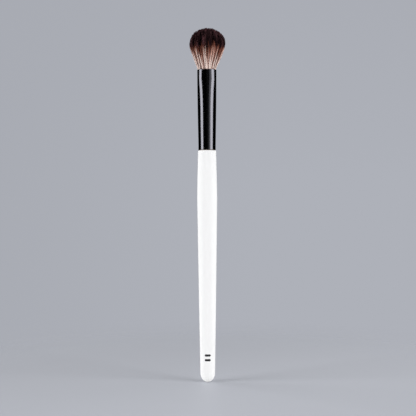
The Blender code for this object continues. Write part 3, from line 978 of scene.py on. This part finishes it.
def packed_root_material(hair):
    """Glued hair, seen end on and in fine upright streaks."""
    nodes = Finish("packed_hair")
    streaks = nodes.noise(nodes.drawn_out(ROOT_STRETCH_SHARE), ROOT_STREAK_SIZE, detail=3.0)
    between = nodes.soft_step(*ROOT_STREAK_SPAN, streaks)
    sockets = {
        "Base Color": nodes.mix("RGBA", between, tint(hair.russet), tint(hair.pale)),
        "Roughness": 0.7,
        "Normal": nodes.bump(streaks, strength=0.6, depth=0.04 * MM),
    }
    return nodes.surface(sockets)


FIBRE_SIZE = 0.06 * MM
COTTON_SHADE_SHARE = 0.75


def cotton_material(root):
    """Undyed cotton with loose fibres."""
    nodes = Finish("cotton_thread")
    fibres = nodes.noise(nodes.place(), FIBRE_SIZE, detail=4.0)
    sockets = {
        "Base Color": nodes.shaded(fibres, root.cotton, COTTON_SHADE_SHARE),
        "Roughness": 0.9,
        "Sheen Weight": 0.3,
        "Normal": nodes.bump(fibres, strength=0.5, depth=0.02 * MM),
    }
    return nodes.surface(sockets)


GLUE_BUBBLE_SIZE = 0.4 * MM
EPOXY_BUBBLE_SIZE = 0.7 * MM
BUBBLE_RIM_SPAN = (0.12, 0.2)
CLOUDS_PER_BUBBLE = 4
RESIN_SHADE_SHARE = 0.72
RESIN_ROUGHNESS = (0.22, 0.42)


def set_resin_material(name, rgb, bubble_size):
    """Set glue or epoxy: glossy and clouded, with small bubbles."""
    nodes = Finish(name)
    place = nodes.place()
    clouds = nodes.noise(place, bubble_size * CLOUDS_PER_BUBBLE)
    bubbles = nodes.node("ShaderNodeTexVoronoi", None, {"Vector": place, "Scale": 1 / bubble_size})
    rim = nodes.soft_step(*BUBBLE_RIM_SPAN, bubbles)
    clear = nodes.shaded(clouds, rgb, RESIN_SHADE_SHARE)
    sockets = {
        "Base Color": nodes.mix("RGBA", rim, tint(rgb, RESIN_SHADE_SHARE), clear),
        "Roughness": nodes.mix("FLOAT", clouds, *RESIN_ROUGHNESS),
        "Normal": nodes.bump(rim, strength=0.4, depth=0.05 * MM),
    }
    return nodes.surface(sockets)


INK_GRAIN_SIZE = 0.15 * MM
INK_THIN_SHARE = 1.8
INK_ROUGHNESS = (0.3, 0.5)


def ink_material(mark):
    """Black ink, a little uneven where the pad pressed it on."""
    nodes = Finish("printed_ink")
    grain = nodes.noise(nodes.place(), INK_GRAIN_SIZE, detail=3.0)
    sockets = {
        "Base Color": nodes.shaded(grain, mark.ink, INK_THIN_SHARE),
        "Roughness": nodes.mix("FLOAT", grain, *INK_ROUGHNESS),
        "Normal": nodes.bump(grain, strength=0.2, depth=0.01 * MM),
    }
    return nodes.surface(sockets)


# Operators that make the pieces

class AddHandle(Operator):
    """Turn the lacquered handle with its bare tenon"""

    bl_idname = "blending_brush.add_handle"
    bl_label = "Add Handle"

    def execute(self, context):
        handle = context.scene.brush_handle
        outline = butt_outline(handle) + body_outline(handle) + tenon_outline(handle)
        piece = turn("lacquered_handle", outline, lacquered_wood_material(handle))
        settle(piece, "handle")
        return {"FINISHED"}


BAR_STEPS = 48


def add_bar(bm, mark, handle, middle_z):
    """A round-ended bar of ink that follows the handle's curve."""
    round_end = mark.bar_height / 2
    straight = mark.bar_width / 2 - round_end
    sections = []
    for place in steps(-mark.bar_width / 2, mark.bar_width / 2, BAR_STEPS):
        past_straight = max(0.0, abs(place) - straight)
        half_height = math.sqrt(max(0.0, round_end**2 - past_straight**2))
        section = []
        for film, side in ((mark.film, -1), (mark.film, 1), (-mark.film, 1), (-mark.film, -1)):
            z = middle_z + side * half_height
            radius = handle_radius(handle, z)
            turned = place / radius
            reach = radius + film
            section.append(bm.verts.new((reach * math.sin(turned), -reach * math.cos(turned), z)))
        sections.append(section)
    for left, right in zip(sections, sections[1:]):
        for i, vertex in enumerate(left):
            after = (i + 1) % len(left)
            bm.faces.new((vertex, left[after], right[after], right[i]))
    bm.faces.new(sections[0])
    bm.faces.new(reversed(sections[-1]))


class AddMark(Operator):
    """Print the plain mark of bars near the butt"""

    bl_idname = "blending_brush.add_mark"
    bl_label = "Add Printed Mark"

    def execute(self, context):
        mark = context.scene.brush_mark
        bm = bmesh.new()
        for i in range(mark.bars):
            middle_z = mark.height + (i - (mark.bars - 1) / 2) * mark.spacing
            add_bar(bm, mark, context.scene.brush_handle, middle_z)
        bmesh.ops.remove_doubles(bm, verts=bm.verts, dist=MERGE_DISTANCE)
        bmesh.ops.recalc_face_normals(bm, faces=bm.faces)
        piece = add_from_bmesh("printed_mark", bm, ink_material(mark))
        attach(piece, BODY)
        return {"FINISHED"}


class AddFerrule(Operator):
    """Draw the black ferrule and press its mouth oval"""

    bl_idname = "blending_brush.add_ferrule"
    bl_label = "Add Ferrule"

    def execute(self, context):
        ferrule = context.scene.brush_ferrule
        material = black_metal_material(ferrule)
        piece = turn("black_ferrule", ferrule_outline(ferrule), material, press_of(ferrule))
        settle(piece, "ferrule")
        return {"FINISHED"}


class AddGlueRings(Operator):
    """Fill the tenon's two grooves with set glue"""

    bl_idname = "blending_brush.add_glue_rings"
    bl_label = "Add Glue Rings"

    def execute(self, context):
        root = context.scene.brush_root
        handle = context.scene.brush_handle
        glue = set_resin_material("set_glue", root.glue, GLUE_BUBBLE_SIZE)
        inner = handle.tenon_radius - handle.groove_depth + root.clearance
        outer = handle.tenon_radius
        for name, start in zip(("glue_ring_lower", "glue_ring_upper"), groove_starts(handle)):
            low = start + root.clearance
            high = start + handle.groove_width - root.clearance
            outline = [(outer, low), (outer, high), (inner, high), (inner, low), (outer, low)]
            settle(turn("set_" + name, outline, glue), name)
        return {"FINISHED"}


PLUG_STEPS = 8


class AddRootPlug(Operator):
    """Cast the epoxy plug under the hair's root"""

    bl_idname = "blending_brush.add_root_plug"
    bl_label = "Add Root Plug"

    def execute(self, context):
        root = context.scene.brush_root
        ferrule = context.scene.brush_ferrule
        reach = tightest_bore(ferrule, root, PLUG_Z, PLUG_LIP_Z)
        lip_inner = waist_radius(ferrule, root) + root.clearance
        top_z = PLUG_LIP_Z - root.plug_lip
        outline = []
        for share in steps(0, 1, PLUG_STEPS):
            outline.append((reach * share, PLUG_Z + root.plug_hollow * (1 - share**2)))
        outline += [(reach, PLUG_LIP_Z), (lip_inner, PLUG_LIP_Z), (lip_inner, top_z), (0.0, top_z)]
        epoxy = set_resin_material("set_epoxy", root.epoxy, EPOXY_BUBBLE_SIZE)
        settle(turn("epoxy_plug", outline, epoxy), "root_plug")
        return {"FINISHED"}


class AddBindingThread(Operator):
    """Wind the two-ply thread that binds the hair's root"""

    bl_idname = "blending_brush.add_binding_thread"
    bl_label = "Add Binding Thread"

    def execute(self, context):
        root = context.scene.brush_root
        radius = thread_radius(context.scene.brush_ferrule, root)
        pitch = root.thread_diameter + root.thread_gap
        wound = math.hypot(math.tau * radius, pitch) * root.thread_turns
        sizes = {
            "Turns": float(root.thread_turns),
            "Helix radius": radius,
            "Helix height": pitch * root.thread_turns,
            "Ply radius": root.thread_diameter / 4,
            "Twists": wound / root.thread_lay,
            "Base height": THREAD_Z + root.thread_diameter / 2,
            "Material": cotton_material(root),
        }
        piece = grow("two_ply_thread", thread_tree(), sizes)
        piece.data.shade_smooth()
        settle(piece, "binding_thread")
        return {"FINISHED"}


ROOT_STEPS = 24


class AddPackedRoot(Operator):
    """Pack the glued root of the hair into the ferrule"""

    bl_idname = "blending_brush.add_packed_root"
    bl_label = "Add Packed Root"

    def execute(self, context):
        root = context.scene.brush_root
        ferrule = context.scene.brush_ferrule
        waist = waist_radius(ferrule, root)
        waist_z = thread_top_z(root)
        top_z = MOUTH_Z - root.recess
        outline = [(0.0, ROOT_Z), (waist, ROOT_Z), (waist, waist_z)]
        for z in steps(waist_z + root.waist_runout, top_z, ROOT_STEPS):
            outline.append((bore_half_sizes(ferrule, z, root.clearance)[0], z))
        outline.append((0.0, top_z))
        material = packed_root_material(context.scene.brush_hair)
        piece = turn("packed_root", outline, material, press_of(ferrule))
        settle(piece, "hair_bundle")
        return {"FINISHED"}


# Each layer of hair, with its inner and outer reach as shares of the head
HAIR_LAYERS = (
    ("hair_core", 0.0, 0.5),
    ("hair_inner", 0.5, 0.71),
    ("hair_outer", 0.71, 0.87),
    ("hair_surface", 0.87, 1.0),
)


class AddHair(Operator):
    """Grow the head of hair in four layers"""

    bl_idname = "blending_brush.add_hair"
    bl_label = "Add Hair"

    def execute(self, context):
        hair = context.scene.brush_hair
        root_z = MOUTH_Z - context.scene.brush_root.recess
        half_sizes = bore_half_sizes(context.scene.brush_ferrule, root_z, hair.rim)
        half_sizes += hair.head_width / 2, hair.head_depth / 2
        sizes = {"Material": hair_material(hair, root_z)}
        for name in HAIR_COUNTS + HAIR_MEASURES:
            sizes[name] = getattr(hair, name.lower().replace(" ", "_"))
        for name, inner, outer in HAIR_LAYERS:
            sizes["Strands"] = round(hair.strands * (outer**2 - inner**2))
            measures = (inner, outer, root_z, TIP_Z - hair.dome_height, *half_sizes)
            piece = grow(name, hair_tree(), {**sizes, **dict(zip(LAYER_MEASURES, measures))})
            piece.data.shade_smooth()
            settle(piece, "hair_bundle")
        return {"FINISHED"}


# Stage

CLIP_START = 10.0 * MM

FLOOR_SEGMENTS = 128
FLOOR_SHADE_SHARE = 0.9
FLOOR_SHADE_SPAN = (-0.14, 0.1)
FLOOR_SHADE_SLANT = 0.9
FLOOR_FADE_SHARES = (0.15, 0.6)

CURTAIN_SEGMENTS = 64
CURTAIN_RADIUS = 1.4
CURTAIN_LOW = -0.3
CURTAIN_HIGH = 1.4

# Each box: its name, its azimuth from the camera's side towards +X and its spread in degrees,
# its share of the box light, and whether gloss mirrors it
SOFT_BOXES = (
    ("left_box", -69.0, 32.0, 1.0, True),
    ("left_rim", -118.0, 30.0, 0.5, False),
    ("right_box", 62.0, 34.0, 0.95, True),
    ("right_box_edge", 35.0, 20.0, 0.15, True),
    ("right_rim", 118.0, 30.0, 0.2, False),
    ("front_glow", 12.0, 30.0, 0.007, True),
)
BOX_DISTANCE = 0.9
BOX_LOW = -0.05
BOX_HIGH = 1.6

# Where along X and Z of the view's direction painted shade makes the backdrop darker, to the left and
# towards the top, and where it turns paler below the horizon
BACKDROP_SIDE_SPAN = (-0.35, 0.1)
BACKDROP_TOP_SPAN = (0.03, 0.34)
BACKDROP_FOOT_SPAN = (-0.165, -0.2)
BACKDROP_DIM_SHARE = 0.92
BACKDROP_NEAR_SHARE = 1.08


def add_camera(stage):
    camera = add_object("camera", bpy.data.cameras.new("camera"))
    camera.data.lens = stage.lens
    camera.data.clip_start = CLIP_START
    camera.location = (stage.side_step, -stage.distance, stage.eye_height)
    camera.rotation_euler = (math.pi / 2, stage.roll, 0.0)
    bpy.context.scene.camera = camera


def floor_material(stage):
    """Pale paper, a little darker to the left, that fades into the backdrop far from the brush."""
    nodes = Finish("pale_floor")
    place = nodes.place()
    x, y, _ = nodes.parts(place)
    # Painted shade: the floor's seen colour is darker to the left and towards the back
    lit_side = nodes.soft_step(*FLOOR_SHADE_SPAN, x - FLOOR_SHADE_SLANT * y)
    seen = nodes.mix("RGBA", lit_side, tint(stage.floor, FLOOR_SHADE_SHARE), tint(stage.floor))
    path = nodes.node("ShaderNodeLightPath")
    bounced = path.output("Is Diffuse Ray")
    sockets = {
        "Base Color": nodes.mix("RGBA", bounced, seen, tint([stage.bounce] * 3)),
        "Roughness": 0.6,
        "Specular IOR Level": 0.25,
    }
    paper = nodes.node("ShaderNodeBsdfPrincipled", None, sockets)
    near, far = (stage.floor_radius * share for share in FLOOR_FADE_SHARES)
    fade = nodes.soft_step(near, far, nodes.vector_math("LENGTH", place)) * path.output("Is Camera Ray")
    nothing = nodes.node("ShaderNodeBsdfTransparent")
    return nodes.end(nodes.node("ShaderNodeMixShader", None, {0: fade, 1: paper, 2: nothing}))


def add_floor(stage):
    bm = bmesh.new()
    bmesh.ops.create_circle(bm, cap_ends=True, segments=FLOOR_SEGMENTS, radius=stage.floor_radius)
    add_from_bmesh("floor", bm, floor_material(stage))


def add_curtain():
    """A dark cloth round the set, out of every view, that keeps the ferrule's reflections black."""
    nodes = Finish("dark_cloth")
    cloth = nodes.end(nodes.node("ShaderNodeBsdfDiffuse", None, {"Color": (0.0, 0.0, 0.0, 1.0)}))
    bm = bmesh.new()
    bmesh.ops.create_cone(
        bm,
        cap_ends=False,
        segments=CURTAIN_SEGMENTS,
        radius1=CURTAIN_RADIUS,
        radius2=CURTAIN_RADIUS,
        depth=CURTAIN_HIGH - CURTAIN_LOW,
    )
    bmesh.ops.translate(bm, verts=bm.verts, vec=(0, 0, (CURTAIN_HIGH + CURTAIN_LOW) / 2))
    curtain = add_from_bmesh("dark_curtain", bm, cloth)
    curtain.visible_camera = False
    curtain.visible_diffuse = False
    curtain.visible_shadow = False


def add_soft_box(name, azimuth, spread, radiance, mirrored):
    """A tall lamp beside the brush, turned to it."""
    lamp = bpy.data.lights.new(name, "AREA")
    lamp.shape = "RECTANGLE"
    lamp.size = 2 * BOX_DISTANCE * math.tan(spread / 2)
    lamp.size_y = BOX_HIGH - BOX_LOW
    lamp.energy = math.pi * lamp.size * lamp.size_y * radiance
    box = add_object(name, lamp)
    middle_z = (BOX_HIGH + BOX_LOW) / 2
    box.location = (BOX_DISTANCE * math.sin(azimuth), -BOX_DISTANCE * math.cos(azimuth), middle_z)
    box.rotation_euler = (math.pi / 2, 0.0, azimuth)
    box.visible_camera = False
    box.visible_glossy = mirrored


def set_world(stage):
    """The backdrop where the camera, gloss and glass look, and an even light for all else."""
    world = bpy.data.worlds.new("studio")
    world.use_nodes = True
    world.node_tree.nodes.clear()
    world.cycles.sampling_method = "NONE"
    bpy.context.scene.world = world
    nodes = Nodes(world.node_tree)
    path = nodes.node("ShaderNodeLightPath")
    seen = nodes.math("MAXIMUM", path.output("Is Camera Ray"), path.output("Is Glossy Ray"))
    seen = nodes.math("MAXIMUM", seen, path.output("Is Transmission Ray"))
    x, _, z = nodes.parts(nodes.node("ShaderNodeTexCoord").output("Generated"))
    # Painted shade on the backdrop: darker to the left and towards the top
    dim = tint(stage.backdrop, BACKDROP_DIM_SHARE)
    shade = nodes.mix("RGBA", nodes.soft_step(*BACKDROP_SIDE_SPAN, x), dim, tint(stage.backdrop))
    shade = nodes.mix("RGBA", nodes.share_between(*BACKDROP_TOP_SPAN, z), shade, dim)
    near = tint(stage.backdrop, BACKDROP_NEAR_SHARE)
    shade = nodes.mix("RGBA", nodes.soft_step(*BACKDROP_FOOT_SPAN, z), shade, near)
    white = (1.0, 1.0, 1.0, 1.0)
    light = nodes.node("ShaderNodeBackground", None, {"Color": white, "Strength": stage.fill_light})
    backdrop = nodes.node("ShaderNodeBackground", None, {"Color": shade, "Strength": 1.0})
    mixed = nodes.node("ShaderNodeMixShader", None, {0: seen, 1: light, 2: backdrop})
    nodes.node("ShaderNodeOutputWorld", None, {"Surface": mixed})


class AddStage(Operator):
    """Set the camera, the pale floor, the dark curtain, the soft boxes and the backdrop"""

    bl_idname = "blending_brush.add_stage"
    bl_label = "Add Stage"

    def execute(self, context):
        stage = context.scene.brush_stage
        add_camera(stage)
        add_floor(stage)
        add_curtain()
        for name, azimuth, spread, share, mirrored in SOFT_BOXES:
            add_soft_box(name, math.radians(azimuth), math.radians(spread), stage.box_light * share, mirrored)
        set_world(stage)
        context.scene.view_settings.view_transform = "Standard"
        return {"FINISHED"}


# The operators of each section, where its settings are kept, and their class
SECTIONS = (
    ((AddHandle,), "brush_handle", HandleSizes),
    ((AddMark,), "brush_mark", MarkSizes),
    ((AddFerrule,), "brush_ferrule", FerruleSizes),
    ((AddGlueRings, AddRootPlug, AddBindingThread, AddPackedRoot), "brush_root", RootSizes),
    ((AddHair,), "brush_hair", HairSizes),
    ((AddStage,), "brush_stage", StageSettings),
)


class BrushPanel(Panel):
    """Lists the brush's sizes and the operators that make its pieces"""

    bl_idname = "BLENDING_BRUSH_PT_pieces"
    bl_label = "Blending Brush"
    bl_space_type = "VIEW_3D"
    bl_region_type = "UI"
    bl_category = "Brush"

    def draw(self, context):
        for operators, name, _ in SECTIONS:
            box = self.layout.box()
            settings = getattr(context.scene, name)
            for setting in settings.__annotations__:
                box.prop(settings, setting)
            for operator in operators:
                box.operator(operator.bl_idname)


def register():
    for operators, name, settings in SECTIONS:
        bpy.utils.register_class(settings)
        setattr(bpy.types.Scene, name, PointerProperty(type=settings))
        for operator in operators:
            bpy.utils.register_class(operator)
    bpy.utils.register_class(BrushPanel)


def unregister():
    bpy.utils.unregister_class(BrushPanel)
    for operators, name, settings in reversed(SECTIONS):
        for operator in reversed(operators):
            bpy.utils.unregister_class(operator)
        delattr(bpy.types.Scene, name)
        bpy.utils.unregister_class(settings)


def clear_default_scene():
    """Removes what a new file holds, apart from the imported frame."""
    for name in ("Cube", "Light", "Camera"):
        if name in bpy.data.objects:
            bpy.data.objects.remove(bpy.data.objects[name], do_unlink=True)


def main():
    register()
    clear_default_scene()
    brush = bpy.ops.blending_brush
    brush.add_handle()
    brush.add_mark()
    brush.add_ferrule()
    brush.add_glue_rings()
    brush.add_root_plug()
    brush.add_binding_thread()
    brush.add_packed_root()
    brush.add_hair()
    brush.add_stage()


if __name__ == "__main__":
    main()
